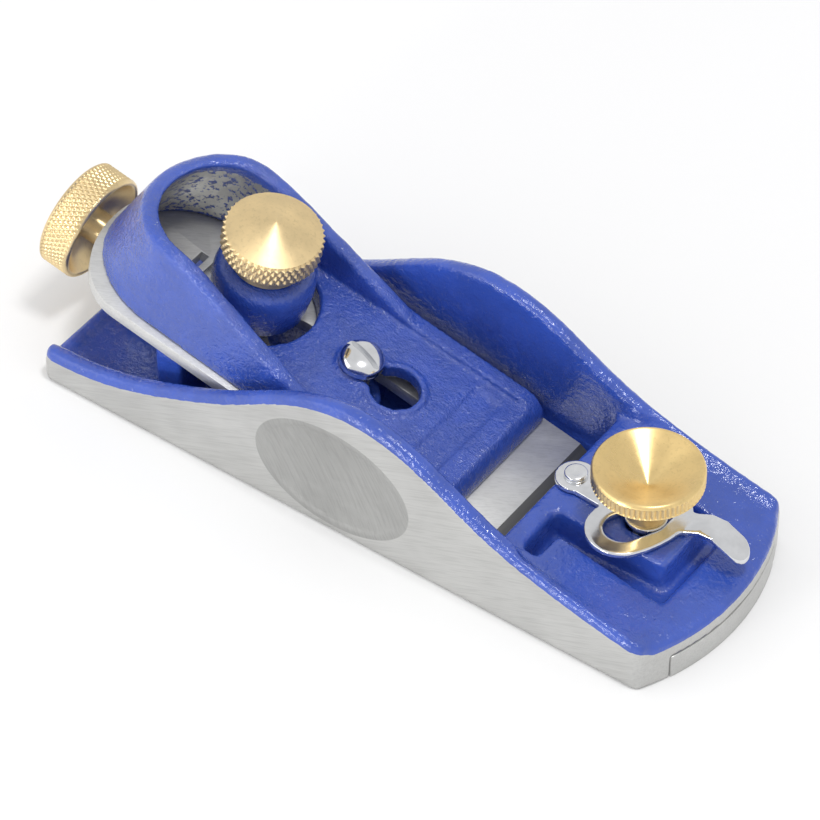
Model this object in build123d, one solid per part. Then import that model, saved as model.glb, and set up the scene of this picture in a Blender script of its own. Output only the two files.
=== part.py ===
from build123d import *
import math
import os

# Adjustable-mouth low-angle block plane, millimetres.
# Frame: origin at the middle of the sole, +X to the toe, +Y across, +Z up.

SOLE_L = 160.9            # heel to nose
SOLE_W = 53.0
NOSE_R = 53.0             # plan radius of the nose
CORNER_R = 2.5
WALL_T = 4.1              # wing thickness
FLOOR_Z = 4.2             # inside floor over the sole
HEEL_LIP_Z = 5.0
HEEL_LIP_T = 3.0
REST_HALF = 19.0

BED_DEG = 12.0            # iron bed to the sole
IRON_Z0 = 11.2            # height of the iron's upper face at x = 0
IRON_T = 3.0
IRON_HALF = 20.5
IRON_REAR_U = -81.6       # rear tip, along the bed
IRON_REAR_A = 15.85       # length of the rounded rear end
IRON_BEVEL_U = 28.2       # where the bevel starts on the upper face
BEVEL_DEG = 25.0
IRON_SLOT_HALF = 5.5
IRON_SLOT_U = (-33.0, 2.0)
CROSS_SLOT_U = [-60.8 + 3.6 * i for i in range(5)]
CROSS_SLOT = (2.0, 10.0)

MOUTH_X = 36.6            # front edge of the bed at the sole
MOUTH_HALF = 21.7
PLATE_X = 41.1            # rear edge of the toe plate
PLATE_T = 6.0
PLATE_HALF = 19.0
PLATE_GAP = 0.06
DECK_Z = 17.3             # plateau that carries the lever
DECK_X = 35.6             # rear edge of the plateau
POCKET_Z = 9.6

STUD_X = 57.4
STUD_R = 2.9
PEG_X, PEG_Y = 39.1, 1.4
PEG_R = 1.8
LEVER_T = 1.5
LEVER_Z = DECK_Z + 0.1
LEVER_K = -3.4            # plate travel per radian of lever swing
LEVER_MIN, LEVER_MAX = math.radians(-8.0), math.radians(18.0)
COLLAR_R = 3.8             # stud's collar in the lever's slot
SLOT_HALF = COLLAR_R + 0.12
KNOB_Z = LEVER_Z + LEVER_T + 0.7

CAP_GAP = 0.06
CAP_U = 19.0              # front of the lever cap
CAP_PANEL_W = 5.8
CAP_RIM_W = 7.0
CAP_WALL = 3.7
BOSS_U = -43.3
BOSS_R = 11.1
BOSS_TOP = 16.9
OPEN_R = 13.0
KEY_U = -7.2
KEY_R = 5.5
KEY_SLOT = 3.1
CAP_SCREW_U = -16.3
CAP_SCREW_R = 2.8
CLAMP_R = 3.0             # clamp screw

SPINDLE_W = -7.4          # spindle axis below the iron's upper face
SPINDLE_R = 2.5
DEPTH_KNOB_U = -83.9      # front face of the depth knob
DEPTH_KNOB_R = 12.2
DEPTH_KNOB_T = 8.0
POST_U = -69.0
POST_R = 3.0
BLOCK_U = (-73.0, -65.0)
NUT_U = (-59.6, -50.6)

BED = Plane(
    origin=(0, 0, IRON_Z0),
    x_dir=(math.cos(math.radians(BED_DEG)), 0, -math.sin(math.radians(BED_DEG))),
    z_dir=(math.sin(math.radians(BED_DEG)), 0, math.cos(math.radians(BED_DEG))),
)


def put(shape):
    """Bed coordinates (u along the iron, y across, w off its upper face) to the object's frame."""
    return BED.location * shape


def prism_y(points, half):
    """Side-view polygon in XZ drawn out to +-half in Y."""
    face = make_face(Polyline(*[(x, z) for x, z in points], close=True))
    return extrude(Plane.XZ * face, amount=half, both=True)


def rod(r, z0, z1, x=0.0, y=0.0):
    return Pos(x, y, (z0 + z1) / 2) * Cylinder(r, z1 - z0)


def box(x0, x1, y0, y1, z0, z1):
    return Pos((x0 + x1) / 2, (y0 + y1) / 2, (z0 + z1) / 2) * Box(x1 - x0, y1 - y0, z1 - z0)


def turned(profile):
    """Half profile of (r, z) points turned about Z."""
    face = make_face(Polyline(*profile, close=True))
    return revolve(Plane.XZ * face, Axis.Z)


def sole_outline():
    x_heel = -SOLE_L / 2
    x_nose = SOLE_L / 2
    half = SOLE_W / 2
    x_corner = x_nose - NOSE_R + math.sqrt(NOSE_R ** 2 - half ** 2)
    lines = Polyline((x_corner, half), (x_heel, half), (x_heel, -half), (x_corner, -half))
    nose = ThreePointArc((x_corner, -half), (x_nose, 0), (x_corner, half))
    face = make_face(lines + nose)
    return fillet(face.vertices(), CORNER_R)


def wing_side():
    """Side view of the wings with their swept hump."""
    x_heel = -SOLE_L / 2
    crest = Spline(
        (x_heel, 8.6), (-66, 9.6), (-46, 15.8), (-28, 24.4), (-13, 33.0), (1, 36.6),
        (15, 33.9), (29, 26.4), (43, 20.0), (60, 15.2), (82, 10.9),
        tangents=[(1, 0.02), (1, -0.18)],
    )
    rest = Polyline((82, 10.9), (82, 0), (x_heel, 0), (x_heel, 8.6))
    return make_face(crest + rest)


def dimple(side):
    cut = scale(Sphere(1.0), by=(35.3, 6.0, 24.6))
    return Pos(-2.8, side * (SOLE_W / 2 + 5.0), 15.4) * cut


def iron_under(x):
    """Height of the bed under the iron at x."""
    t = math.tan(math.radians(BED_DEG))
    return IRON_Z0 - IRON_T / math.cos(math.radians(BED_DEG)) - t * x - 0.03


def body_casting():
    half = SOLE_W / 2
    inner = half - WALL_T
    solid = extrude(Plane.XZ * wing_side(), amount=half, both=True)
    solid = solid & extrude(sole_outline(), amount=60)
    # room between the wings, heel to throat
    solid -= box(-SOLE_L / 2 + HEEL_LIP_T, DECK_X, -inner, inner, FLOOR_Z, 60)
    solid -= box(-SOLE_L / 2 - 1, 0, -inner, inner, HEEL_LIP_Z, 60)
    # bed wedge behind the mouth
    bed = [(4, FLOOR_Z - 1), (4, iron_under(4)), (MOUTH_X, iron_under(MOUTH_X)), (MOUTH_X, 0)]
    throat = [
        (MOUTH_X, -1), (39.4, -1), (39.4, 3.0), (41.0, 8.0), (DECK_X, 12.2), (DECK_X, 60), (17, 60),
        (17, iron_under(17)), (MOUTH_X, iron_under(MOUTH_X)),
    ]
    solid -= prism_y(throat, MOUTH_HALF)
    solid += prism_y(bed, inner + 0.5)
    # rear bed rests, either side of the adjuster
    for side in (-1, 1):
        y0, y1 = sorted((side * 10.6, side * REST_HALF))
        rest = prism_y(
            [(-55, FLOOR_Z - 1), (-55, iron_under(-55)), (-48, iron_under(-48)), (-48, FLOOR_Z - 1)], 60
        )
        solid += rest & box(-60, -40, y0, y1, 0, 60)
    # channel for the sliding toe plate
    solid -= box(MOUTH_X, 90, -PLATE_HALF - PLATE_GAP, PLATE_HALF + PLATE_GAP, -1, PLATE_T + PLATE_GAP)
    solid += toe_plateau(inner)
    solid -= toe_pockets()
    # slot for the stud, bore for the lever peg
    travel = (LEVER_K * LEVER_MAX, LEVER_K * LEVER_MIN)
    solid -= stud_slot(STUD_X + travel[0] - 0.3, STUD_X + travel[1] + 0.3, STUD_R + 0.25)
    solid -= rod(PEG_R + 0.01, DECK_Z - 4.2, DECK_Z + 10, PEG_X, PEG_Y)
    # boss for the lever cap screw and foot for the adjuster's post
    cap_boss = put(rod(6.0, -30, -IRON_T - 0.4, CAP_SCREW_U)) & box(-40, 20, -10, 10, 2, 40)
    solid += cap_boss
    foot = put(rod(5.5, -40, -16.8, POST_U)) & box(-90, -50, -10, 10, 2, 40)
    solid += foot
    solid -= put(rod(CAP_SCREW_R + 0.02, -12.5, 5, CAP_SCREW_U))
    solid -= put(rod(POST_R + 0.01, -22.0, 0, POST_U))
    for side in (-1, 1):
        solid -= dimple(side)
    return solid


def toe_plateau(inner):
    """Raised ground that carries the lever: a cross bar behind and a square land round the stud."""
    bar = prism_y(
        [(DECK_X, 12.4), (DECK_X, DECK_Z), (39.4, DECK_Z), (40.6, 11.0), (40.6, 8.0), (39.4, 8.0)], inner + 0.5
    )
    land = box(38.0, 67.0, -7.8, 7.8, PLATE_T + PLATE_GAP, DECK_Z)
    return bar + land


def toe_pockets():
    """Moat round the land, deeper at the rear corners, and the lower surface of the border."""
    cut = None
    for side in (-1, 1):
        runs = [
            (40.6, 66.0, 7.8, 12.6),
            (40.6, 44.2, 7.8, 20.2),
        ]
        for x0, x1, ya, yb in runs:
            y0, y1 = sorted((side * ya, side * yb))
            piece = box(x0, x1, y0, y1, POCKET_Z, 40)
            cut = piece if cut is None else cut + piece
    cut += box(67.0, 69.8, -12.6, 12.6, POCKET_Z, 40)
    cut += box(65.9, 67.1, 7.8, 12.6, POCKET_Z, 40) + box(65.9, 67.1, -12.6, -7.8, POCKET_Z, 40)
    over = prism_y([(41.5, DECK_Z), (41.5, 40), (90, 40), (90, 8.2)], SOLE_W / 2 - 2.6)
    keep = box(30, 67.0, -7.8, 7.8, 0, DECK_Z)
    cut += box(30, 41.6, -SOLE_W / 2 + WALL_T, SOLE_W / 2 - WALL_T, DECK_Z, 60)
    return cut + (over - keep)


def stud_slot(x0, x1, r):
    slot = box(x0, x1, -r, r, PLATE_T - 1, DECK_Z + 5)
    return slot + rod(r, PLATE_T - 1, DECK_Z + 5, x0) + rod(r, PLATE_T - 1, DECK_Z + 5, x1)


def toe_plate():
    plate = box(PLATE_X, 90, -PLATE_HALF, PLATE_HALF, 0, PLATE_T)
    plate = plate & extrude(sole_outline(), amount=20)
    plate -= rod(STUD_R + 0.01, -0.6, 20, STUD_X) & box(0, 90, -9, 9, 1.6, 20)
    return plate


def front_knob_stud():
    stud = rod(STUD_R, 1.65, KNOB_Z + 6.4, STUD_X)
    return stud + rod(COLLAR_R, DECK_Z + 0.08, LEVER_Z + LEVER_T, STUD_X)


def front_knob_washer():
    z0 = LEVER_Z + LEVER_T + 0.05
    return rod(4.5, z0, z0 + 0.6, STUD_X) - rod(STUD_R + 0.06, z0 - 1, z0 + 2, STUD_X)


def front_knob():
    h = 13.85
    z = KNOB_Z
    body = turned([
        (0, z), (4.2, z), (4.6, z + 0.5), (5.0, z + 2.0), (7.2, z + 6.4), (10.2, z + h - 3.8), (11.5, z + h - 3.4),
        (11.5, z + h - 0.5), (11.0, z + h), (10.4, z + h - 0.1), (5.2, z + h - 2.8), (0, z + h - 5.3),
    ])
    body = Pos(STUD_X, 0, 0) * body
    for i in range(60):
        a = 2 * math.pi * i / 60
        flute = rod(0.32, z + h - 4, z + h + 1, STUD_X + 11.62 * math.cos(a), 11.62 * math.sin(a))
        body -= flute
    return body - rod(STUD_R + 0.05, z - 1, z + 7.1, STUD_X)


def lever_track(psi):
    """Stud centre seen in the lever's own frame when the lever has swung by psi."""
    dx = STUD_X + LEVER_K * psi - PEG_X
    dy = -PEG_Y
    c, s = math.cos(-psi), math.sin(-psi)
    return (PEG_X + c * dx - s * dy, PEG_Y + s * dx + c * dy)


def capsule(p, q, r, z0, z1):
    length = math.hypot(q[0] - p[0], q[1] - p[1])
    angle = math.degrees(math.atan2(q[1] - p[1], q[0] - p[0]))
    bar = Pos(length / 2, 0, (z0 + z1) / 2) * Box(length, 2 * r, z1 - z0)
    bar = Pos(p[0], p[1], 0) * Rot(0, 0, angle) * bar
    return bar + rod(r, z0, z1, p[0], p[1]) + rod(r, z0, z1, q[0], q[1])


def band(r, z0, z1, extra=0.0):
    """Stadium-like band of half width r along the stud's track."""
    n = 6
    lo, hi = LEVER_MIN - extra, LEVER_MAX + extra
    pts = [lever_track(lo + (hi - lo) * i / n) for i in range(n + 1)]
    out = capsule(pts[0], pts[1], r, z0, z1)
    for a, b in zip(pts[1:-1], pts[2:]):
        out += capsule(a, b, r, z0, z1)
    return out


def throat_lever():
    z0, z1 = 0, 60
    blank = rod(4.4, z0, z1, PEG_X, PEG_Y)
    blank += capsule((PEG_X, PEG_Y), (51.0, 0.6), 3.7, z0, z1)
    blank += band(SLOT_HALF + 3.6, z0, z1, 0.02)
    blank += capsule((60.0, 2.6), (68.5, 4.7), 3.1, z0, z1)
    blank += capsule((68.5, 4.7), (75.8, 5.0), 3.1, z0, z1)
    t = LEVER_T
    z = LEVER_Z
    low = [(30, z), (65.6, z), (68.8, z + 1.0), (72.0, z + 1.0), (76.5, z - 1.4), (82, z - 5.4)]
    high = [(x, zz + t) for x, zz in reversed(low)]
    strip = prism_y(low + high, 30)
    lever = blank & strip
    lever -= band(SLOT_HALF, z0, z1)
    return lever - rod(PEG_R + 0.12, 0, 60, PEG_X, PEG_Y)


def throat_lever_peg():
    top = LEVER_Z + LEVER_T
    peg = rod(PEG_R, DECK_Z - 4.1, top + 0.15, PEG_X, PEG_Y)
    return peg + rod(2.5, top + 0.1, top + 1.1, PEG_X, PEG_Y)


def plane_iron():
    tip = IRON_BEVEL_U + IRON_T / math.tan(math.radians(BEVEL_DEG))
    side = prism_y(
        [(IRON_REAR_U - 1, -IRON_T), (tip, -IRON_T), (IRON_BEVEL_U, 0), (IRON_REAR_U - 1, 0)], IRON_HALF
    )
    centre = IRON_REAR_U + IRON_REAR_A
    end = extrude(Pos(centre, 0, -IRON_T - 1) * Ellipse(IRON_REAR_A, IRON_HALF), amount=IRON_T + 2)
    plan = end + box(centre, tip + 1, -IRON_HALF, IRON_HALF, -IRON_T - 1, 1)
    iron = side & plan
    u0, u1 = IRON_SLOT_U
    h = IRON_SLOT_HALF
    iron -= box(u0, u1, -h, h, -IRON_T - 1, 1)
    iron -= rod(h, -IRON_T - 1, 1, u0) + rod(h, -IRON_T - 1, 1, u1)
    for u in CROSS_SLOT_U:
        du, dy = CROSS_SLOT
        iron -= box(u - du / 2, u + du / 2, -dy / 2, dy / 2, -IRON_T - 1, 1)
    return put(iron)


def cap_plan(front, half_front, half_mid, mid, a, w, inset=0.0):
    """Plan of the lever cap at height w: straight sides with a rounded rear end."""
    hf, hm, aa = half_front - inset, half_mid - inset, a - inset
    side0 = Line((front, -hf), (front, hf))
    side1 = Line((front, hf), (mid, hm))
    rear1 = EllipticalCenterArc((mid, 0), aa, hm, 90, arc_size=180)
    side2 = Line((mid, -hm), (front, -hf))
    return Pos(0, 0, w) * make_face(side0 + side1 + rear1 + side2)


def cap_blank(inset, w0=0.0, w1=24.0):
    low = cap_plan(CAP_U + (3 if inset else 0), 19.8, 18.8, -58.3, 22.5, 0, inset)
    top = cap_plan(CAP_U + (3 if inset else 0), 18.2, 17.2, -56.0, 15.7, 24, inset)
    return loft([low, top])


def cap_side(gap):
    """Side view of the lever cap with its rising hood."""
    nose = ThreePointArc((CAP_U, 1.2), (17.2, 5.2), (12.6, CAP_RIM_W))
    flat = Polyline((12.6, CAP_RIM_W), (-14.0, CAP_RIM_W), (-48.0, 20.4))
    crown = Spline((-48.0, 20.4), (-61.0, 22.6), (-76.0, 19.2), tangents=[(-1, 0.38), (-1, -0.42)])
    rest = Polyline((-76.0, 19.2), (-90, 12), (-90, gap), (CAP_U, gap), (CAP_U, 1.2))
    return extrude(Plane.XZ * make_face(nose + flat + crown + rest), amount=30, both=True)


def lever_cap():
    cap = cap_blank(0.0) & cap_side(CAP_GAP)
    hollow = cap_blank(CAP_WALL)
    # open above the panel, and right through under the hood
    cap -= hollow & box(-90, 25, -30, 30, CAP_PANEL_W, 40)
    cap -= hollow & box(-90, BOSS_U, -30, 30, -1, 40)
    cap -= rod(OPEN_R, -1, 40, BOSS_U)
    cap -= box(-30.0, 12.5, -16.4, 16.4, -1, 2.8)
    cap += turned_boss()
    cap -= rod(CLAMP_R + 0.05, -1, 40, BOSS_U)
    # keyhole with its raised lip
    lip = rod(KEY_R + 1.4, 2.8, CAP_PANEL_W + 0.7, KEY_U) + capsule(
        (KEY_U, 0), (CAP_SCREW_U - 0.8, 0), KEY_SLOT + 1.6, 2.8, CAP_PANEL_W + 0.7
    )
    cap += lip
    cap -= rod(KEY_R, -1, 40, KEY_U)
    cap -= capsule((KEY_U, 0), (CAP_SCREW_U - 0.8, 0), KEY_SLOT, -1, 40)
    cap -= box(4.9, 12.0, -12.7, 12.7, CAP_PANEL_W - 0.6, 40)
    return put(cap)


def turned_boss():
    boss = turned([
        (0, 4.4), (BOSS_R - 0.9, 4.4), (BOSS_R - 0.3, 8.0), (BOSS_R, 11.0), (BOSS_R, 14.2), (BOSS_R - 0.5, 16.0),
        (BOSS_R - 1.5, BOSS_TOP),
        (0, BOSS_TOP),
    ])
    boss = Pos(BOSS_U, 0, 0) * boss
    web = box(BOSS_U - 5.0, BOSS_U + 4.0, -16.0, 16.0, 4.4, 9.6)
    return boss + (web & cap_blank(0.5))


def lever_cap_screw():
    z = CAP_PANEL_W + 0.8
    head = turned([(0, z), (4.6, z), (4.6, z + 0.7), (3.9, z + 1.7), (2.4, z + 2.3), (0, z + 2.5)])
    head = Pos(CAP_SCREW_U, 0, 0) * head
    head -= box(CAP_SCREW_U - 6, CAP_SCREW_U + 6, -0.5, 0.5, z + 1.2, z + 5)
    return put(head + rod(CAP_SCREW_R, -12.4, z + 0.2, CAP_SCREW_U))


def lever_cap_knob():
    z = BOSS_TOP + 0.4
    knob = turned([
        (0, z), (7.8, z), (7.8, z + 4.0), (9.8, z + 4.3), (10.9, z + 4.9), (10.9, z + 9.5),
        (10.1, z + 10.1), (0, z + 13.2),
    ])
    knob = Pos(BOSS_U, 0, 0) * knob
    knob -= rod(CLAMP_R + 0.01, z - 1, z + 6.0, BOSS_U)
    return put(knob)


def lever_cap_knob_screw():
    z = BOSS_TOP + 0.4
    screw = rod(CLAMP_R, 2.4, z + 5.9, BOSS_U) + rod(1.6, 1.0, 2.6, BOSS_U)
    return put(screw)


def pressure_pad():
    pad = rod(5.2, CAP_GAP, 2.3, BOSS_U) - rod(1.7, 0.9, 4, BOSS_U)
    return put(pad)


def depth_knob():
    """Turned about the spindle: built along Z, then laid along the bed."""
    t, r = DEPTH_KNOB_T, DEPTH_KNOB_R
    knob = turned([
        (0, 0), (r - 1.0, 0), (r, 0.8), (r, t - 0.6), (r - 0.5, t), (r - 1.6, t), (r - 3.4, t - 3.0),
        (4.2, t - 3.6), (3.6, t - 2.0), (3.6, t + 2.2), (0, t + 2.2),
    ])
    knob -= rod(SPINDLE_R + 0.01, 1.6, t + 4)
    return put(Pos(DEPTH_KNOB_U - t, 0, SPINDLE_W) * Rot(0, 90, 0) * knob)


def lay(shape, u=0.0):
    return put(Pos(u, 0, SPINDLE_W) * Rot(0, 90, 0) * shape)


def depth_spindle():
    start = DEPTH_KNOB_U - DEPTH_KNOB_T + 1.65
    return lay(rod(SPINDLE_R, start, NUT_U[1] + 6.5))


def spindle_ring(u0, u1):
    return lay(rod(3.9, u0, u1) - rod(SPINDLE_R + 0.01, u0 - 1, u1 + 1))


def adjuster_block():
    u0, u1 = BLOCK_U
    block = box(u0, u1, -5.5, 5.5, -16.6, -3.4)
    block -= Pos(0, 0, SPINDLE_W) * Rot(0, 90, 0) * rod(SPINDLE_R + 0.05, u0 - 1, u1 + 1)
    block -= rod(POST_R + 0.04, -20, -10.6, POST_U)
    return put(block)


def adjuster_post():
    return put(rod(POST_R, -21.9, -10.7, POST_U))


def adjuster_nut():
    u0, u1 = NUT_U
    nut = box(u0, u1, -4.6, 4.6, -11.4, -3.5)
    nut -= Pos(0, 0, SPINDLE_W) * Rot(0, 90, 0) * rod(SPINDLE_R + 0.05, u0 - 1, u1 + 1)
    nut -= rod(0.9, -4.6, 0, CROSS_SLOT_U[1] - 1.0 + 0.9)
    return put(nut)


def adjuster_peg():
    u = CROSS_SLOT_U[1]
    return put(box(u - 0.94, u + 0.94, -4.0, 4.0, -3.48, -0.3))


NODES = {
    "body_casting": body_casting,
    "toe_plate": toe_plate,
    "front_knob_stud": front_knob_stud,
    "front_knob_washer": front_knob_washer,
    "front_knob": front_knob,
    "throat_lever": throat_lever,
    "throat_lever_peg": throat_lever_peg,
    "plane_iron": plane_iron,
    "lever_cap": lever_cap,
    "lever_cap_screw": lever_cap_screw,
    "lever_cap_knob": lever_cap_knob,
    "lever_cap_knob_screw": lever_cap_knob_screw,
    "pressure_pad": pressure_pad,
    "depth_knob": depth_knob,
    "depth_spindle": depth_spindle,
    "spindle_ring": lambda: spindle_ring(BLOCK_U[1] + 0.06, BLOCK_U[1] + 2.0),
    "spindle_spacer": lambda: spindle_ring(DEPTH_KNOB_U + 2.25, BLOCK_U[0] - 0.06),
    "adjuster_block": adjuster_block,
    "adjuster_post": adjuster_post,
    "adjuster_nut": adjuster_nut,
    "adjuster_peg": adjuster_peg,
}

os.makedirs("parts", exist_ok=True)
for name, make in NODES.items():
    export_step(make(), "parts/" + name + ".step")
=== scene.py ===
"""Low-angle block plane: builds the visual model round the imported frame."""
import math
import bmesh
import bpy
from mathutils import Matrix, Vector, noise


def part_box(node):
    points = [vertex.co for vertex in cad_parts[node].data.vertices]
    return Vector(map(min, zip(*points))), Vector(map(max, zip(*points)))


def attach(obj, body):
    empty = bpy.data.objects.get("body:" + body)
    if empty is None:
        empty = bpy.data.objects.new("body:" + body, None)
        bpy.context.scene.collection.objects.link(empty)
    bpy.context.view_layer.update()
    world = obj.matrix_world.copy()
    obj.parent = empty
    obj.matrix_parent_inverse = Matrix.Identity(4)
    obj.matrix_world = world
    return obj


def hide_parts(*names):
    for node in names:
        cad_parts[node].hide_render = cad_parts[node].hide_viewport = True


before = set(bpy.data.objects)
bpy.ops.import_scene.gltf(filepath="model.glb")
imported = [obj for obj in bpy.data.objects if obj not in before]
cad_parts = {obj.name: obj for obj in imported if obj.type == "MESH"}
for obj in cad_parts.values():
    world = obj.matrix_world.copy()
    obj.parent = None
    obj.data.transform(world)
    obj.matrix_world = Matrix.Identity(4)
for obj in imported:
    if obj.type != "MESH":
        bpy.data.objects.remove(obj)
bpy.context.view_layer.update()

bl_info = {
    "name": "Block plane",
    "version": (1, 0, 0),
    "blender": (4, 5, 0),
    "location": "3D View > Sidebar > Block Plane",
    "description": "Models and finishes a low-angle block plane piece by piece",
    "category": "Object",
}

MM = 0.001

# The bed that the iron lies on: its slope and the height of the iron's face over the sole's middle
BED_SLOPE = math.radians(12.0)
BED_HEIGHT = 11.2 * MM
BED = Matrix.Translation((0, 0, BED_HEIGHT)) @ Matrix.Rotation(BED_SLOPE, 4, "Y")
BED_INVERSE = BED.inverted()

# Plan of the sole, millimetres
SOLE_HALF_LENGTH = 80.45
SOLE_HALF_WIDTH = 26.5
NOSE_RADIUS = 53.0
NOSE_CENTRE = SOLE_HALF_LENGTH - NOSE_RADIUS
CORNER_RADIUS = 2.5
PAINT_RIM = 2.2           # painted roll above the ground side
CREST_Y = 24.0            # the wings' upper edge lies outside this
DIMPLE = (-2.8, 15.4, 19.6, 13.7)

FRONT_KNOB = Vector((57.4, 0, 19.6))
CAP_KNOB = (-43.3, 17.3)  # along the bed, off the iron
CAP_SCREW = (-16.3, 7.0)
DEPTH_KNOB = (-83.9, -7.4)
SLOT_HALF = 0.62          # screwdriver slot
SLOT_TURN = math.radians(-12)
IRON_BEVEL = 28.2         # along the bed, where the iron's ground bevel starts; past it the bevel gets a painted dark reflection

# Regions of the casting's skin, millimetres
SIDE_Y = 25.0             # the outer sides lie beyond this
WING_Y = 21.9             # the wings' rolled tops lie beyond this
ROLL_DEPTH = 3.2          # how far down from its edge a wing is rolled
ROLL_END = 80.0
DECK_START, DECK_FLOOR = 33.0, 8.2
CAST_FLOOR = 1.5          # below this the skin is ground
TRUE_SIDE = 26.32         # skin outside this is set flat on the side

# Regions of the lever cap's skin, along and off the bed
HOOD_OFF = 7.2            # the hood's rolled rim lies above this
HOOD_ACROSS, HOOD_REAR = 11.0, -62.0
BOSS_RING = (7.5, 13.4)   # inner and outer radius of the boss's domed shoulder
BOSS_OFF = 5.0
HOOD_CENTRE = -56.0
LINING = (1.0, 19.5)      # lowest and highest part of the hood's bare lining
LINING_FRONT, LINING_RADIUS, LINING_FACING = -52.0, 11.5, 0.55

# Screws and knurls
PITCH = 1.0
THREAD_DEPTH = 0.28
SPINDLE_THREAD = 0.26
STRAIGHT_TEETH = 66
CAP_TEETH, CAP_LEAD = 45, 2.63
DEPTH_TEETH, DEPTH_LEAD = 66, 2.0

# Studio
FLOOR_HALF = 4.0
SKY_STRENGTH = 0.80
LAMPS = (                 # name, place in metres, side, watts
    ("overhead", (0.24, -0.02, 1.05), 0.18, 3.6),
    ("front", (-0.62, -0.70, 0.50), 0.70, 1.6),
    ("low", (-0.15, -0.95, 0.17), 0.22, 2.4),
)
LAMP_AIM = Vector((0, 0, 0.02))
CAMERA_PLACE = (0.40698, -0.56486, 0.71669)
CAMERA_BACK = Vector((0.41325, -0.57082, 0.70949))
CAMERA_UP = Vector((-0.41605, 0.57469, 0.70470))
CAMERA_LENS, CAMERA_FILM = 207.6, 36


# ---------------------------------------------------------------- settings


class PlaneFinish(bpy.types.PropertyGroup):
    """Colours and surface depths a user would change."""

    enamel: bpy.props.FloatVectorProperty(
        name="Enamel", description="Colour of the gloss paint on the castings", subtype="COLOR",
        size=3, min=0, max=1, default=(0.032, 0.082, 0.43),
    )
    iron: bpy.props.FloatVectorProperty(
        name="Ground iron", description="Colour of the surface-ground sides and sole", subtype="COLOR",
        size=3, min=0, max=1, default=(0.56, 0.56, 0.547),
    )
    steel: bpy.props.FloatVectorProperty(
        name="Plated steel", description="Colour of the bright lever, studs and screws", subtype="COLOR",
        size=3, min=0, max=1, default=(0.74, 0.75, 0.77),
    )
    brass: bpy.props.FloatVectorProperty(
        name="Brass", description="Colour of the turned knobs", subtype="COLOR",
        size=3, min=0, max=1, default=(0.82, 0.64, 0.36),
    )
    cast_depth: bpy.props.FloatProperty(
        name="Cast surface depth", description="Height of the sand-cast waviness under the paint",
        default=0.10 * MM, min=0, unit="LENGTH", precision=6,
    )
    knurl_depth: bpy.props.FloatProperty(
        name="Knurl depth", description="Depth of the knurled grips", default=0.32 * MM, min=0,
        unit="LENGTH", precision=5,
    )


class PlaneMesh(bpy.types.PropertyGroup):
    """How finely the cast pieces are meshed."""

    body_grid: bpy.props.FloatProperty(
        name="Casting grid", description="Spacing of the body casting's mesh", default=0.58 * MM,
        min=0.2 * MM, unit="LENGTH", precision=5,
    )
    cap_grid: bpy.props.FloatProperty(
        name="Cap grid", description="Spacing of the lever cap's mesh", default=0.42 * MM,
        min=0.2 * MM, unit="LENGTH", precision=5,
    )
    lever_grid: bpy.props.FloatProperty(
        name="Lever grid", description="Spacing of the throat lever's mesh", default=0.22 * MM,
        min=0.1 * MM, unit="LENGTH", precision=5,
    )


# ---------------------------------------------------------------- mesh helpers


def cad_copy(node):
    """A bmesh of a CAD node with its loose triangles merged."""
    bm = bmesh.new()
    bm.from_mesh(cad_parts[node].data)
    bmesh.ops.remove_doubles(bm, verts=bm.verts, dist=1e-6)
    return bm


def to_object(bm, name, body, nodes, material, smooth=True):
    """Makes the finished piece from a bmesh, ties it to its body, and hides its CAD nodes."""
    for face in bm.faces:
        face.smooth = smooth
    mesh = bpy.data.meshes.new(name)
    bm.to_mesh(mesh)
    bm.free()
    obj = bpy.data.objects.new(name, mesh)
    bpy.context.scene.collection.objects.link(obj)
    obj.data.materials.append(material)
    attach(obj, body)
    if nodes:
        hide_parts(*nodes)
    return obj


def edged(bm, width, segments=2, angle=28.0):
    """Dissolves flat faces, then rounds the sharp edges by a small bevel."""
    bmesh.ops.dissolve_limit(
        bm, angle_limit=math.radians(0.6), verts=bm.verts, edges=bm.edges, use_dissolve_boundaries=False
    )
    sharp = [e for e in bm.edges if len(e.link_faces) == 2 and e.calc_face_angle(0) > math.radians(angle)]
    bmesh.ops.bevel(
        bm, geom=sharp, offset=width, offset_type="OFFSET", affect="EDGES", segments=segments,
        profile=0.5, material=-1, clamp_overlap=True,
    )
    return bm


def shade_by_angle(obj, degrees=30.0):
    """Smooth shading that keeps the crisp edges."""
    limit = math.radians(degrees)
    bm = bmesh.new()
    bm.from_mesh(obj.data)
    for edge in bm.edges:
        if len(edge.link_faces) == 2:
            edge.smooth = edge.calc_face_angle(0) < limit
    bm.to_mesh(obj.data)
    bm.free()


def remeshed(bm, grid):
    """An even skin over a solid, as the start of a cast or stamped surface."""
    mesh = bpy.data.meshes.new("skin_source")
    bm.to_mesh(mesh)
    bm.free()
    temp = bpy.data.objects.new("skin_source", mesh)
    bpy.context.scene.collection.objects.link(temp)
    skin = temp.modifiers.new("skin", "REMESH")
    skin.mode = "VOXEL"
    skin.voxel_size = grid
    skin.adaptivity = 0
    graph = bpy.context.evaluated_depsgraph_get()
    made = bpy.data.meshes.new_from_object(temp.evaluated_get(graph))
    bpy.data.objects.remove(temp)
    bpy.data.meshes.remove(mesh)
    out = bmesh.new()
    out.from_mesh(made)
    bpy.data.meshes.remove(made)
    return out


def smoothed(bm, rounds, verts=None):
    """Relaxes the skin, or a chosen region of it."""
    chosen = list(bm.verts if verts is None else verts)
    for _ in range(rounds):
        bmesh.ops.smooth_vert(
            bm, verts=chosen, factor=0.5, use_axis_x=True, use_axis_y=True, use_axis_z=True
        )


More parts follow.
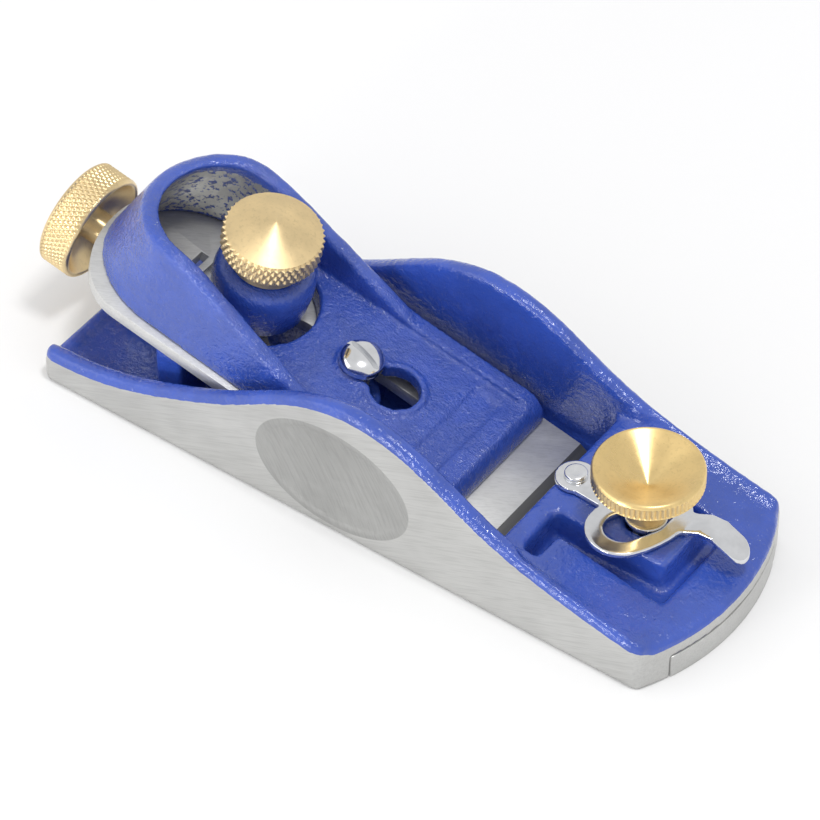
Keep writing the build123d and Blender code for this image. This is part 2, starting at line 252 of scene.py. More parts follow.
def spun(profile, steps):
    """Half profile of (radius, height) points in millimetres, turned about Z."""
    bm = bmesh.new()
    verts = [bm.verts.new((r * MM, 0, z * MM)) for r, z in profile]
    edges = [bm.edges.new(pair) for pair in zip(verts, verts[1:])]
    bmesh.ops.spin(
        bm, geom=verts + edges, cent=(0, 0, 0), axis=(0, 0, 1), angle=2 * math.pi, steps=steps, use_merge=True
    )
    bmesh.ops.remove_doubles(bm, verts=bm.verts, dist=1e-7)
    bmesh.ops.recalc_face_normals(bm, faces=bm.faces)
    return bm


def rows(p, q, count):
    """Evenly spaced points from p to q, without q."""
    return [(p[0] + (q[0] - p[0]) * i / count, p[1] + (q[1] - p[1]) * i / count) for i in range(count)]


def curve_rows(points, count):
    """A smooth run through three or more profile points, without the last."""
    out = []
    n = len(points)
    for i in range(n - 1):
        p0 = points[max(i - 1, 0)]
        p1, p2 = points[i], points[i + 1]
        p3 = points[min(i + 2, n - 1)]
        for k in range(count):
            t = k / count
            out.append(tuple(
                0.5 * ((2 * b) + (c - a) * t + (2 * a - 5 * b + 4 * c - d) * t * t
                       + (3 * b - a - 3 * c + d) * t ** 3)
                for a, b, c, d in zip(p0, p1, p2, p3)
            ))
    return out


def groove(value):
    """0 on a ridge, 1 in the bottom of a V cut."""
    return abs((value % 1.0) - 0.5) * 2


def knurl(bm, radius, low, high, teeth, depth, lead=None):
    """Cuts a knurl into a band: straight with no lead, else diamonds with that pitch along the axis."""
    for v in bm.verts:
        r = math.hypot(v.co.x, v.co.y) / MM
        z = v.co.z / MM
        if r < radius - 0.01 or z < low or z > high:
            continue
        around = math.atan2(v.co.y, v.co.x) / (2 * math.pi) * teeth
        if lead is None:
            cut = groove(around) ** 1.3
        else:
            cut = max(groove(around + z / lead), groove(around - z / lead))
        fade = min(1.0, (z - low) / 0.25, (high - z) / 0.25)
        scale = 1 - depth * cut * max(fade, 0) / (r * MM)
        v.co.x *= scale
        v.co.y *= scale


def threaded(radius, low, high, depth=THREAD_DEPTH, steps=40, tip=0.5):
    """A screw shank along Z with a rounded helical thread."""
    count = max(4, int((high - low) / PITCH * 6))
    profile = [(0, low)] + rows((radius - tip, low), (radius, low + tip), 2)
    profile += rows((radius, low + tip), (radius, high), count) + [(radius, high), (0, high)]
    bm = spun(profile, steps)
    for v in bm.verts:
        r = math.hypot(v.co.x, v.co.y) / MM
        if r < radius - 0.01:
            continue
        turn = math.atan2(v.co.y, v.co.x) / (2 * math.pi)
        cut = groove(v.co.z / MM / PITCH - turn)
        scale = 1 - depth * cut / r
        v.co.x *= scale
        v.co.y *= scale
    return bm


def on_bed(bm, along, off):
    """Stands a piece built along Z on the bed, at that place along the iron and height off it."""
    matrix = BED @ Matrix.Translation((along * MM, 0, off * MM))
    bmesh.ops.transform(bm, matrix=matrix, verts=bm.verts)
    return matrix


def along_bed(bm, along, off):
    """Lays a piece built along Z on the bed's direction, its Z to the toe."""
    matrix = BED @ Matrix.Translation((along * MM, 0, off * MM)) @ Matrix.Rotation(math.radians(90), 4, "Y")
    bmesh.ops.transform(bm, matrix=matrix, verts=bm.verts)
    return matrix


def cast_waves(bm, depth, keep):
    """Sand-cast waviness where keep(co) says that the surface is as cast."""
    bm.normal_update()
    moves = []
    for v in bm.verts:
        share = keep(v.co)
        if share <= 0:
            continue
        p = v.co / MM
        wave = 0.65 * noise.noise(p * 0.42) + 0.35 * noise.noise(p * 1.1 + Vector((7, 3, 1)))
        moves.append((v, v.normal * wave * depth * share))
    for v, move in moves:
        v.co += move


def crest_table(bm):
    """Height of the wings' upper edge along X, in millimetres, taken from the casting's own skin."""
    bins = {}
    for v in bm.verts:
        if abs(v.co.y) > CREST_Y * MM:
            key = round(v.co.x / MM)
            bins[key] = max(bins.get(key, 0), v.co.z / MM)
    return sorted(bins.items())


def crest_at(table, x):
    """The crest's height at x, between the table's entries."""
    if x <= table[0][0]:
        return table[0][1]
    for (x0, z0), (x1, z1) in zip(table, table[1:]):
        if x <= x1:
            return z0 + (z1 - z0) * (x - x0) / max(x1 - x0, 1e-9)
    return table[-1][1]


def set_attribute(obj, name, values):
    """One number for each point of the mesh, for the materials to read."""
    layer = obj.data.attributes.new(name, "FLOAT", "POINT")
    layer.data.foreach_set("value", values)


# ---------------------------------------------------------------- materials
# Noise scales are features per metre, and bump distances are metres.


class Tree:
    """A material's nodes, added and linked in one call each."""

    def __init__(self, name):
        self.material = bpy.data.materials.new(name)
        self.material.use_nodes = True
        self.tree = self.material.node_tree
        self.tree.nodes.clear()

    def add(self, kind, inputs=None, **props):
        node = self.tree.nodes.new("ShaderNode" + kind)
        for key, value in props.items():
            setattr(node, key, value)
        for key, value in (inputs or {}).items():
            socket = node.inputs[key]
            if isinstance(value, bpy.types.NodeSocket):
                self.tree.links.new(value, socket)
            else:
                socket.default_value = value
        return node

    def math(self, operation, a, b=0.0, clamp=False):
        return self.add("Math", {0: a, 1: b}, operation=operation, use_clamp=clamp).outputs[0]

    def mix(self, factor, a, b, blend="MIX"):
        node = self.add("Mix", data_type="RGBA", blend_type=blend)
        for index, value in ((0, factor), (6, a), (7, b)):
            if isinstance(value, bpy.types.NodeSocket):
                self.tree.links.new(value, node.inputs[index])
            else:
                node.inputs[index].default_value = value
        return node.outputs[2]

    def span(self, value, low, high, to_low=0.0, to_high=1.0, smooth=True):
        return self.add(
            "MapRange",
            {"Value": value, "From Min": low, "From Max": high, "To Min": to_low, "To Max": to_high},
            interpolation_type="SMOOTHSTEP" if smooth else "LINEAR",
        ).outputs[0]

    def noise(self, vector, scale, detail=3.0, rough=0.55, distortion=0.0):
        return self.add(
            "TexNoise", {"Vector": vector, "Scale": scale, "Detail": detail, "Roughness": rough,
                         "Distortion": distortion},
        ).outputs["Fac"]

    def bump(self, height, distance, strength=1.0, normal=None):
        inputs = {"Height": height, "Distance": distance, "Strength": strength}
        if normal is not None:
            inputs["Normal"] = normal
        return self.add("Bump", inputs).outputs[0]

    def place(self, location=(0, 0, 0), rotation=(0, 0, 0), scale=(1, 1, 1), kind="TEXTURE"):
        coords = self.add("TexCoord").outputs["Object"]
        return self.add(
            "Mapping", {"Vector": coords, "Location": location, "Rotation": rotation, "Scale": scale},
            vector_type=kind,
        ).outputs[0]

    def surface(self, shader):
        self.add("OutputMaterial", {"Surface": shader})
        return self.material


def rgba(color, gain=1.0):
    return (min(color[0] * gain, 1), min(color[1] * gain, 1), min(color[2] * gain, 1), 1)


def enamel_shader(t, finish, ripple=0.0):
    """Thick gloss paint over a sand casting: orange peel, sags and pinholes, and ripples where asked for."""
    p = t.add("TexCoord").outputs["Object"]
    broad = t.noise(p, 120, 2)
    peel = t.noise(p, 760, 3, 0.55, 0.4)
    fine = t.noise(p, 2100, 2, 0.5)
    cells = t.add("TexVoronoi", {"Vector": p, "Scale": 520.0, "Randomness": 1.0}, feature="F1")
    pits = cells.outputs["Distance"]
    pit_mask = t.span(t.noise(p, 260, 2), 0.60, 0.68)
    pit = t.math("MULTIPLY", t.span(pits, 0.02, 0.22, -1.0, 0.0), pit_mask)
    height = t.math("ADD", peel, t.math("MULTIPLY", fine, 0.26))
    height = t.math("ADD", height, t.math("MULTIPLY", pit, 0.6))
    if ripple:
        waves = t.noise(t.place(scale=(1.0, 0.45, 1.0)), 1050, 1, 0.5, 1.2)
        height = t.math("ADD", height, t.math("MULTIPLY", waves, ripple))
    normal = t.bump(height, 0.00034, 0.85)
    skin = t.bump(height, 0.00030, 0.80)
    tone = t.mix(t.span(broad, 0.35, 0.65), rgba(finish.enamel, 0.92), rgba(finish.enamel, 1.08))
    tone = t.mix(t.span(pits, 0.0, 0.10, 0.30, 0.0), tone, rgba(finish.enamel, 0.5))
    return t.add(
        "BsdfPrincipled",
        {"Base Color": tone, "Roughness": t.span(fine, 0.3, 0.7, 0.12, 0.22), "Normal": normal,
         "Coat Weight": 0.6, "Coat Roughness": 0.04, "Coat Normal": skin, "Specular IOR Level": 0.5},
    ).outputs[0]


def ground_shader(t, color, turn, fine=1.0, rough=0.36, metallic=1.0):
    """Surface-ground metal: long fine scratches at one angle over faint cloudy tone."""
    along = t.place(rotation=turn, scale=(22.0, 1.0, 1.0))
    lines = t.noise(along, 2600 * fine, 2, 0.6)
    coarse = t.noise(along, 800 * fine, 2, 0.5)
    p = t.add("TexCoord").outputs["Object"]
    cloud = t.noise(p, 45, 3, 0.6)
    grain = t.noise(p, 1500, 2, 0.6)
    tone = t.mix(t.span(cloud, 0.3, 0.7), rgba(color, 0.93), rgba(color, 1.05))
    tone = t.mix(t.span(lines, 0.42, 0.68, 0.0, 0.26), tone, rgba(color, 0.62))
    tone = t.mix(t.span(coarse, 0.50, 0.74, 0.0, 0.22), tone, rgba(color, 1.25))
    height = t.math("ADD", t.math("MULTIPLY", lines, 0.7), t.math("MULTIPLY", coarse, 0.5))
    height = t.math("ADD", height, t.math("MULTIPLY", grain, 0.25))
    return t.add(
        "BsdfPrincipled",
        {"Base Color": tone, "Metallic": metallic,
         "Roughness": t.span(coarse, 0.3, 0.7, rough - 0.02, rough + 0.05),
         "Normal": t.bump(height, 0.00003, 0.4)},
    ).outputs[0]


def casting_material(name, finish, edge_noise=0.10, ripple=0.0, patch=420):
    """Enamel with ground metal where the piece's 'bare' attribute, in millimetres, is above zero."""
    t = Tree(name)
    p = t.add("TexCoord").outputs["Object"]
    bare = t.add("Attribute", attribute_name="bare", attribute_type="GEOMETRY").outputs["Fac"]
    wobble = t.math("MULTIPLY", t.math("SUBTRACT", t.noise(p, patch, 4, 0.65), 0.5), edge_noise * 4)
    mask = t.span(t.math("ADD", bare, wobble), -0.05, 0.05)
    dull = t.add("Attribute", attribute_name="dull", attribute_type="GEOMETRY").outputs["Fac"]
    ground = ground_shader(t, finish.iron, (0, math.radians(-24), 0))
    milled = ground_shader(t, [c * 0.74 for c in finish.iron], (0, math.radians(62), 0), 0.8, 0.5)
    metal = t.add("MixShader", {0: t.span(dull, -0.10, 0.10), 1: ground, 2: milled}).outputs[0]
    return t.surface(t.add("MixShader", {0: mask, 1: enamel_shader(t, finish, ripple), 2: metal}).outputs[0])


def ground_material(name, color, turn, fine=1.0, rough=0.34):
    t = Tree(name)
    return t.surface(ground_shader(t, color, turn, fine, rough))


def plated_material(name, finish, rough=0.16):
    """Bright plating with faint handling marks."""
    t = Tree(name)
    p = t.add("TexCoord").outputs["Object"]
    smear = t.noise(p, 160, 3, 0.6)
    scratch = t.noise(t.place(rotation=(0, 0, 0.5), scale=(16, 1, 1)), 1800, 2)
    tone = t.mix(t.span(smear, 0.3, 0.7), rgba(finish.steel, 0.90), rgba(finish.steel, 1.06))
    height = t.math("ADD", t.math("MULTIPLY", smear, 0.6), t.math("MULTIPLY", scratch, 0.3))
    return t.surface(t.add(
        "BsdfPrincipled",
        {"Base Color": tone, "Metallic": 1.0,
         "Roughness": t.span(smear, 0.3, 0.7, rough - 0.04, rough + 0.08),
         "Normal": t.bump(height, 0.00005, 0.35)},
    ).outputs[0])


def turned_material(name, color, matrix, rough=0.30, rings=2600.0, anisotropy=0.75):
    """Lathe-turned metal: fine rings about the piece's own axis, with the light drawn out across them."""
    t = Tree(name)
    turn = matrix.to_euler()
    local = t.place(location=matrix.translation, rotation=turn)
    split = t.add("SeparateXYZ", {0: local})
    x, y = split.outputs[0], split.outputs[1]
    radius = t.math("SQRT", t.math("ADD", t.math("MULTIPLY", x, x), t.math("MULTIPLY", y, y)))
    ring_place = t.add("CombineXYZ", {0: radius, 1: 0.0, 2: split.outputs[2]}).outputs[0]
    ring = t.noise(ring_place, rings, 2, 0.7)
    p = t.add("TexCoord").outputs["Object"]
    patina = t.noise(p, 140, 3, 0.6)
    speck = t.noise(p, 1400, 2, 0.6)
    lift = t.math("MULTIPLY", radius, 0.5)
    flat = t.add("CombineXYZ", {0: x, 1: y, 2: lift}).outputs[0]
    back = t.add("Mapping", {"Vector": flat, "Rotation": turn}, vector_type="VECTOR").outputs[0]
    world = t.add(
        "VectorTransform", {0: back}, vector_type="VECTOR", convert_from="OBJECT", convert_to="WORLD"
    )
    tangent = t.add("VectorMath", {0: world.outputs[0]}, operation="NORMALIZE").outputs[0]
    tone = t.mix(t.span(patina, 0.3, 0.7), rgba(color, 0.92), rgba(color, 1.07))
    tone = t.mix(t.span(speck, 0.5, 0.75, 0.0, 0.35), tone, rgba(color, 0.72))
    height = t.math("ADD", ring, t.math("MULTIPLY", speck, 0.4))
    return t.surface(t.add(
        "BsdfPrincipled",
        {"Base Color": tone, "Metallic": 1.0,
         "Roughness": t.span(patina, 0.3, 0.7, rough - 0.04, rough + 0.06),
         "Anisotropic": anisotropy, "Tangent": tangent, "Normal": t.bump(height, 0.00002, 0.45)},
    ).outputs[0])


# ---------------------------------------------------------------- pieces


def finish_settings(context):
    return context.scene.plane_finish


def outline_depth(x, y):
    """How far a point stands out to the sole's outline, in millimetres: zero on it, less inside."""
    ay = abs(y)
    depth = max(ay - SOLE_HALF_WIDTH, -SOLE_HALF_LENGTH - x)
    if x > 55:
        depth = max(depth, math.hypot(x - NOSE_CENTRE, y) - NOSE_RADIUS)
    for cx, cy in ((71.9, 24.0), (-SOLE_HALF_LENGTH + CORNER_RADIUS, SOLE_HALF_WIDTH - CORNER_RADIUS)):
        if ay > cy and (x - cx) * math.copysign(1, cx) > 0:
            depth = max(depth, math.hypot(x - cx, ay - cy) - CORNER_RADIUS)
    return depth


def dimple_depth(x, z):
    cx, cz, a, b = DIMPLE
    return (1 - math.hypot((x - cx) / a, (z - cz) / b)) * b


class PLANE_OT_casting(bpy.types.Operator):
    """Body casting: wings, heel, bed and toe deck, painted, with its sides, nose and sole ground bright"""

    bl_idname = "plane.casting"
    bl_label = "Body casting"

    def execute(self, context):
        finish = finish_settings(context)
        bm = remeshed(cad_copy("body_casting"), context.scene.plane_mesh.body_grid)
        crest = crest_table(bm)
        smoothed(bm, 3)
        rolls = [v for v in bm.verts if abs(v.co.y) > WING_Y * MM and v.co.x < ROLL_END * MM
                 and v.co.z / MM > crest_at(crest, v.co.x / MM) - ROLL_DEPTH]
        smoothed(bm, 22, rolls)
        deck = [v for v in bm.verts if v.co.x > DECK_START * MM and v.co.z > DECK_FLOOR * MM
                and abs(v.co.y) < SIDE_Y * MM]
        smoothed(bm, 9, deck)

        def as_cast(co):
            x, y, z = co / MM
            if z < CAST_FLOOR or outline_depth(x, y) > -0.5:
                return 0
            return 1

        cast_waves(bm, finish.cast_depth, as_cast)
        for v in bm.verts:
            if abs(v.co.y) > TRUE_SIDE * MM:
                v.co.y = math.copysign(SOLE_HALF_WIDTH * MM, v.co.y)
        bare, dull = [], []
        for v in bm.verts:
            x, y, z = v.co / MM
            edge = 1.0 if abs(y) > SIDE_Y else (outline_depth(x, y) + 0.45) * 3
            hollow = dimple_depth(x, z) if abs(y) > SIDE_Y else -1.0
            side = min(edge, crest_at(crest, x) - PAINT_RIM - z)
            bare.append(max((0.3 - z) * 3, side))
            dull.append(max(-1.0, min(hollow, 1.0)))
        obj = to_object(bm, "casting", "casting", ["body_casting"],
                        casting_material("casting enamel and ground iron", finish))
        set_attribute(obj, "bare", bare)
        set_attribute(obj, "dull", dull)
        return {"FINISHED"}


class PLANE_OT_toe_plate(bpy.types.Operator):
    """Sliding toe plate, ground on its sole and nose"""

    bl_idname = "plane.toe_plate"
    bl_label = "Toe plate"

    def execute(self, context):
        finish = finish_settings(context)
        bm = edged(cad_copy("toe_plate"), 0.22 * MM)
        obj = to_object(bm, "toe_plate_ground", "toe", ["toe_plate"],
                        ground_material("toe plate grinding", finish.iron, (0, 0, math.radians(20))))
        shade_by_angle(obj)
        return {"FINISHED"}


class PLANE_OT_iron(bpy.types.Operator):
    """Plane iron with its bevel, round rear end and cross slots"""

    bl_idname = "plane.iron"
    bl_label = "Plane iron"

    def execute(self, context):
        finish = finish_settings(context)
        bm = edged(cad_copy("plane_iron"), 0.18 * MM)
        # Faces past the bevel's start take the second material, a painted dark reflection
        for face in bm.faces:
            face.material_index = int((BED_INVERSE @ face.calc_center_median()).x > IRON_BEVEL * MM)
        t = Tree("blade grinding")
        grinding = t.surface(ground_shader(
            t, [c * 1.12 for c in finish.iron], (0, 0, math.radians(38)), 1.1, 0.42, 0.6))
        # Painted dark reflection on the bevel: the grinding at a fifth of the iron's colour
        t = Tree("blade bevel painted dark reflection")
        bevel_dark_reflection = t.surface(ground_shader(
            t, [c * 0.22 for c in finish.iron], (0, 0, math.radians(90)), 0.8, 0.5, 0.6))
        obj = to_object(bm, "blade", "iron", ["plane_iron"], grinding)
        obj.data.materials.append(bevel_dark_reflection)
        shade_by_angle(obj)
        return {"FINISHED"}


class PLANE_OT_lever_cap(bpy.types.Operator):
    """Lever cap with its hood, knob boss, keyhole and sunk panel"""

    bl_idname = "plane.lever_cap"
    bl_label = "Lever cap"

    def execute(self, context):
        finish = finish_settings(context)
        bm = remeshed(cad_copy("lever_cap"), context.scene.plane_mesh.cap_grid)
        smoothed(bm, 3)
        hood = []
        for v in bm.verts:
            u, across, w = (BED_INVERSE @ v.co) / MM
            if w > HOOD_OFF and (abs(across) > HOOD_ACROSS or u < HOOD_REAR):
                hood.append(v)
        smoothed(bm, 26, hood)
        dome = []
        for v in bm.verts:
            u, across, w = (BED_INVERSE @ v.co) / MM
            if w > BOSS_OFF and BOSS_RING[0] < math.hypot(u - CAP_KNOB[0], across) < BOSS_RING[1]:
                dome.append(v)
        smoothed(bm, 24, dome)

        def as_cast(co):
            return 0 if (BED_INVERSE @ co).z < 0.5 * MM else 1

        cast_waves(bm, finish.cast_depth, as_cast)
        bm.normal_update()
        bare = []
        for v in bm.verts:
            u, across, w = (BED_INVERSE @ v.co) / MM
            inward = Vector((HOOD_CENTRE - u, -across, 0))
            normal = BED_INVERSE.to_3x3() @ v.normal
            lining = (u < LINING_FRONT and LINING[0] < w < LINING[1] and inward.length > LINING_RADIUS
                      and normal.dot(inward.normalized()) > LINING_FACING)
            bare.append(0.16 if lining else -2.0)
        obj = to_object(bm, "cap", "casting", ["lever_cap"],
                        casting_material("cap enamel", finish, 0.9, 0.8, 650))
        set_attribute(obj, "bare", bare)
        set_attribute(obj, "dull", [-1.0] * len(bare))
        return {"FINISHED"}


class PLANE_OT_front_knob(bpy.types.Operator):
    """Front knob: deep turned dish with a straight-knurled rim over a coned neck, and its stud and washer"""

    bl_idname = "plane.front_knob"
    bl_label = "Front knob"

    def execute(self, context):
        finish = finish_settings(context)
        h, rim = 13.85, 11.75
        profile = [(0, 0), (3.9, 0), (4.2, 0.15)]
        profile += rows((4.3, 0.4), (4.8, 2.0), 3)
        profile += curve_rows([(4.8, 2.0), (5.7, 4.2), (7.6, 7.0), (10.2, h - 4.1)], 5)
        profile += [(10.4, h - 4.0), (rim - 0.15, h - 3.65)]
        profile += rows((rim, h - 3.5), (rim, h - 0.75), 12) + [(rim, h - 0.75)]
        profile += [(rim - 0.2, h - 0.35), (rim - 0.45, h - 0.08), (rim - 0.6, h), (rim - 1.0, h - 0.04)]
        profile += curve_rows([(rim - 1.15, h - 0.14), (9.0, h - 0.9), (6.0, h - 2.45), (2.5, h - 4.15),
                               (0.25, h - 5.15)], 6)
        profile += [(0.25, h - 5.15), (0, h - 5.2)]
        bm = spun(profile, STRAIGHT_TEETH * 8)
        knurl(bm, rim, h - 3.55, h - 0.7, STRAIGHT_TEETH, finish.knurl_depth * 1.1)
        place = Matrix.Translation(FRONT_KNOB * MM)
        bmesh.ops.transform(bm, matrix=place, verts=bm.verts)
        obj = to_object(bm, "front_knob_turned", "front_knob", ["front_knob"],
                        turned_material("front knob brass", [finish.brass[0] * 1.05, finish.brass[1] * 1.0,
                                                             finish.brass[2] * 0.82], place))
        shade_by_angle(obj, 38)
        stud = threaded(2.88, 1.7, 25.6)
        collar = spun([(2.5, 17.4), (3.7, 17.4), (3.8, 17.5), (3.8, 18.8), (3.7, 18.9), (2.5, 18.9)], 48)
        mesh = bpy.data.meshes.new("collar")
        collar.to_mesh(mesh)
        collar.free()
        stud.from_mesh(mesh)
        bpy.data.meshes.remove(mesh)
        bmesh.ops.transform(stud, matrix=Matrix.Translation((FRONT_KNOB.x * MM, 0, 0)), verts=stud.verts)
        to_object(stud, "front_stud", "toe", ["front_knob_stud"],
                  plated_material("stud plating", finish, 0.24))
        washer = edged(cad_copy("front_knob_washer"), 0.15 * MM)
        ring = to_object(washer, "front_washer", "toe", ["front_knob_washer"],
                         plated_material("washer plating", finish, 0.2))
        shade_by_angle(ring)
        return {"FINISHED"}


class PLANE_OT_throat_lever(bpy.types.Operator):
    """Stamped throat lever and the peg it turns on"""

    bl_idname = "plane.throat_lever"
    bl_label = "Throat lever"

    def execute(self, context):
        finish = finish_settings(context)
        bm = remeshed(cad_copy("throat_lever"), context.scene.plane_mesh.lever_grid)
        smoothed(bm, 7)
        to_object(bm, "lever", "lever", ["throat_lever"],
                  plated_material("lever plating", finish, 0.15))
        low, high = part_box("throat_lever_peg")
        centre = (low + high) / 2 / MM
        top = high.z / MM
        profile = [(0, low.z / MM), (1.78, low.z / MM), (1.78, top - 1.15)]
        profile += [(2.45, top - 1.15), (2.5, top - 0.9)]
        profile += curve_rows([(2.5, top - 0.5), (2.25, top - 0.12), (1.6, top)], 3)
        profile += [(1.6, top), (1.3, top - 0.08), (0.6, top - 0.2), (0, top - 0.22)]
        peg = spun(profile, 48)
        stand = Matrix.Translation((centre.x * MM, centre.y * MM, 0))
        bmesh.ops.transform(peg, matrix=stand, verts=peg.verts)
        obj = to_object(peg, "lever_peg", "casting", ["throat_lever_peg"],
                        plated_material("peg plating", finish, 0.18))
        shade_by_angle(obj, 40)
        return {"FINISHED"}


class PLANE_OT_cap_knob(bpy.types.Operator):
    """Lever cap knob with its diamond knurl, clamp screw and pressure pad"""

    bl_idname = "plane.cap_knob"
    bl_label = "Lever cap knob"

    def execute(self, context):
        finish = finish_settings(context)
        radius = 10.9
        profile = [(0, 0), (7.6, 0), (7.8, 0.2), (7.8, 3.9), (7.95, 4.1), (9.6, 4.3), (10.4, 4.6)]
        profile += rows((radius, 5.0), (radius, 9.35), 30) + [(radius, 9.35)]
        profile += rows((radius, 9.35), (10.35, 9.95), 3)
        profile += curve_rows([(10.35, 9.95), (9.9, 10.2), (5.0, 11.75), (1.5, 12.75), (0.3, 13.0)], 6)
        profile += [(0.3, 13.0), (0, 13.05)]
        bm = spun(profile, CAP_TEETH * 9)
        knurl(bm, radius - 0.6, 4.75, 10.15, CAP_TEETH, finish.knurl_depth * 1.9, CAP_LEAD)
        place = on_bed(bm, *CAP_KNOB)
        obj = to_object(bm, "cap_knob_turned", "clamp_knob", ["lever_cap_knob"],
                        turned_material("cap knob brass", finish.brass, place, 0.42, 2600.0, 0.55))
        shade_by_angle(obj, 42)
        shank = threaded(2.98, 2.45, CAP_KNOB[1] + 5.6)
        on_bed(shank, CAP_KNOB[0], 0)
        to_object(shank, "clamp_screw", "clamp_knob", ["lever_cap_knob_screw"],
                  plated_material("clamp screw plating", finish, 0.24))
        pad = edged(cad_copy("pressure_pad"), 0.2 * MM)
        foot = to_object(pad, "clamp_pad", "clamp_foot", ["pressure_pad"],
                         plated_material("pad plating", finish, 0.28))
        shade_by_angle(foot)
        return {"FINISHED"}


class PLANE_OT_cap_screw(bpy.types.Operator):
    """Domed, slotted lever cap screw"""

    bl_idname = "plane.cap_screw"
    bl_label = "Lever cap screw"

    def execute(self, context):
        finish = finish_settings(context)
        profile = [(0, 0), (4.5, 0), (4.85, 0.25)]
        profile += curve_rows([(4.95, 0.8), (4.7, 1.75), (3.8, 2.65), (2.2, 3.25), (0.4, 3.45)], 6)
        profile += [(0.4, 3.45), (0, 3.46)]
        head = spun(profile, 72)
        for side in (-1, 1):
            bmesh.ops.bisect_plane(
                head, geom=list(head.verts) + list(head.edges) + list(head.faces), dist=1e-7,
                plane_co=(0, side * SLOT_HALF * MM, 0), plane_no=(0, 1, 0),
            )
        centres = [(f, f.calc_center_median()) for f in head.faces]
        slot_faces = [f for f, c in centres if c.z > 1.0 * MM and abs(c.y) < SLOT_HALF * MM]
        made = bmesh.ops.extrude_face_region(head, geom=slot_faces)
        lowered = [g for g in made["geom"] if isinstance(g, bmesh.types.BMVert)]
        bmesh.ops.delete(head, geom=slot_faces, context="FACES_ONLY")
        for v in lowered:
            v.co.z = min(v.co.z, 1.9 * MM)
        bmesh.ops.remove_doubles(head, verts=head.verts, dist=1e-7)
        bmesh.ops.transform(head, matrix=Matrix.Rotation(SLOT_TURN, 4, "Z"), verts=head.verts)
        on_bed(head, *CAP_SCREW)
        obj = to_object(head, "cap_screw_head", "cap_screw", ["lever_cap_screw"],
                        plated_material("cap screw chrome", finish, 0.10))
        shade_by_angle(obj, 35)
        shank = threaded(2.78, -12.3, CAP_SCREW[1] + 0.1)
        on_bed(shank, CAP_SCREW[0], 0)
        to_object(shank, "cap_screw_shank", "cap_screw", [],
                  plated_material("cap screw shank plating", finish, 0.2))
        return {"FINISHED"}


class PLANE_OT_depth_adjuster(bpy.types.Operator):
    """Depth knob with its hollow front, the spindle, and the block, nut and peg under the iron"""

    bl_idname = "plane.depth_adjuster"
    bl_label = "Depth adjuster"

    def execute(self, context):
        finish = finish_settings(context)
        t, r = 8.0, 12.5
        profile = [(0, 0), (3.0, 0.0), (r - 1.4, 0.0), (r - 0.7, 0.15), (r - 0.15, 0.55)]
        profile += rows((r, 0.85), (r, t - 0.75), 42) + [(r, t - 0.75)]
        profile += [(r - 0.2, t - 0.35), (r - 0.5, t - 0.06), (r - 0.8, t), (r - 1.1, t - 0.1)]
        profile += curve_rows([(r - 1.25, t - 0.3), (10.2, t - 1.9), (8.6, t - 3.6), (6.4, t - 4.7),
                               (4.6, t - 4.6), (3.7, t - 3.6)], 5)
        profile += [(3.7, t - 3.6), (3.6, t + 2.0), (3.4, t + 2.2), (0, t + 2.2)]
        bm = spun(profile, DEPTH_TEETH * 8)
        knurl(bm, r, 0.8, t - 0.7, DEPTH_TEETH, finish.knurl_depth * 1.25, DEPTH_LEAD)
        place = along_bed(bm, DEPTH_KNOB[0] - t, DEPTH_KNOB[1])
        obj = to_object(bm, "depth_knob_turned", "depth_screw", ["depth_knob"],
                        turned_material("depth knob brass", finish.brass, place, 0.33))
        shade_by_angle(obj, 42)
        start = DEPTH_KNOB[0] - t + 1.7
        spindle = threaded(2.48, 0, -44.2 - start, SPINDLE_THREAD)
        along_bed(spindle, start, DEPTH_KNOB[1])
        to_object(spindle, "spindle", "depth_screw", ["depth_spindle"],
                  plated_material("spindle plating", finish, 0.22))
        pieces = (
            ("spindle_ring", "spindle_ring_bevelled", "depth_screw", "plated_steel"),
            ("adjuster_block", "swivel_block", "adjuster", "plated_steel"),
            ("adjuster_post", "swivel_post", "casting", "plated_steel"),
            ("adjuster_nut", "travelling_nut", "iron", "plated_steel"),
            ("adjuster_peg", "nut_peg", "iron", "tool_steel"),
        )
        steel = plated_material("adjuster plating", finish, 0.26)
        for node, name, body, slot in pieces:
            part = to_object(edged(cad_copy(node), 0.2 * MM), name, body, [node], steel)
            shade_by_angle(part)
        spacer = to_object(edged(cad_copy("spindle_spacer"), 0.2 * MM), "spacer", "depth_screw",
                           ["spindle_spacer"], turned_material("spacer brass", finish.brass, place, 0.3))
        shade_by_angle(spacer)
        return {"FINISHED"}


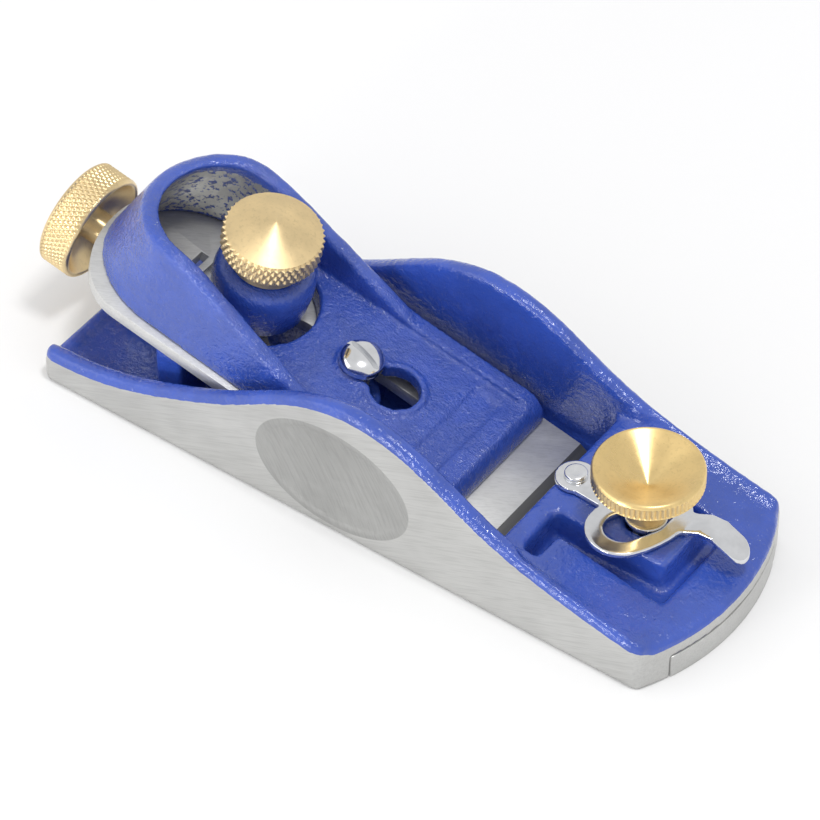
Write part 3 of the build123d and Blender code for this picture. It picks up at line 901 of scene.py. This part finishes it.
class PLANE_OT_stage(bpy.types.Operator):
    """Pale floor, soft studio light and the camera"""

    bl_idname = "plane.stage"
    bl_label = "Stage"

    def execute(self, context):
        scene = context.scene
        bm = bmesh.new()
        bmesh.ops.create_grid(bm, x_segments=2, y_segments=2, size=FLOOR_HALF)
        mesh = bpy.data.meshes.new("floor")
        bm.to_mesh(mesh)
        bm.free()
        floor = bpy.data.objects.new("floor", mesh)
        scene.collection.objects.link(floor)
        t = Tree("pale floor")
        p = t.add("TexCoord").outputs["Object"]
        tone = t.mix(t.noise(p, 3, 2), (0.86, 0.86, 0.87, 1), (0.90, 0.90, 0.90, 1))
        floor.data.materials.append(
            t.surface(t.add("BsdfPrincipled", {"Base Color": tone, "Roughness": 0.9}).outputs[0])
        )
        world = bpy.data.worlds.new("studio")
        scene.world = world
        world.use_nodes = True
        nodes = world.node_tree.nodes
        nodes["Background"].inputs["Color"].default_value = (1, 1, 1, 1)
        nodes["Background"].inputs["Strength"].default_value = SKY_STRENGTH
        for name, place, size, power in LAMPS:
            light = bpy.data.lights.new(name, "AREA")
            light.shape = "SQUARE"
            light.size = size
            light.energy = power
            lamp = bpy.data.objects.new(name, light)
            scene.collection.objects.link(lamp)
            lamp.location = place
            lamp.rotation_mode = "QUATERNION"
            lamp.rotation_quaternion = (LAMP_AIM - Vector(place)).to_track_quat("-Z", "Y")
        back = CAMERA_BACK.normalized()
        up = CAMERA_UP.normalized()
        right = up.cross(back).normalized()
        data = bpy.data.cameras.new("camera")
        data.lens = CAMERA_LENS
        data.sensor_width = CAMERA_FILM
        data.clip_start, data.clip_end = 0.05, 20
        camera = bpy.data.objects.new("camera", data)
        scene.collection.objects.link(camera)
        turn = Matrix((right, up, back)).transposed().to_4x4()
        camera.matrix_world = Matrix.Translation(CAMERA_PLACE) @ turn
        scene.camera = camera
        scene.view_settings.view_transform = "Standard"
        return {"FINISHED"}


class PLANE_PT_panel(bpy.types.Panel):
    """Lists the pieces in the sidebar"""

    bl_idname = "PLANE_PT_panel"
    bl_label = "Block Plane"
    bl_space_type = "VIEW_3D"
    bl_region_type = "UI"
    bl_category = "Block Plane"

    def draw(self, context):
        column = self.layout.column()
        for group in (context.scene.plane_finish, context.scene.plane_mesh):
            for name in group.bl_rna.properties.keys():
                if name not in ("rna_type", "name"):
                    column.prop(group, name)
        for cls in OPERATORS:
            column.operator(cls.bl_idname)


OPERATORS = (
    PLANE_OT_stage, PLANE_OT_casting, PLANE_OT_toe_plate, PLANE_OT_iron, PLANE_OT_lever_cap,
    PLANE_OT_front_knob, PLANE_OT_throat_lever, PLANE_OT_cap_knob, PLANE_OT_cap_screw,
    PLANE_OT_depth_adjuster,
)
CLASSES = (PlaneFinish, PlaneMesh) + OPERATORS + (PLANE_PT_panel,)


def register():
    for cls in CLASSES:
        bpy.utils.register_class(cls)
    bpy.types.Scene.plane_finish = bpy.props.PointerProperty(type=PlaneFinish)
    bpy.types.Scene.plane_mesh = bpy.props.PointerProperty(type=PlaneMesh)


def unregister():
    del bpy.types.Scene.plane_mesh
    del bpy.types.Scene.plane_finish
    for cls in reversed(CLASSES):
        bpy.utils.unregister_class(cls)


def main():
    register()
    for cls in OPERATORS:
        group, name = cls.bl_idname.split(".")
        getattr(getattr(bpy.ops, group), name)()


if __name__ == "__main__":
    main()
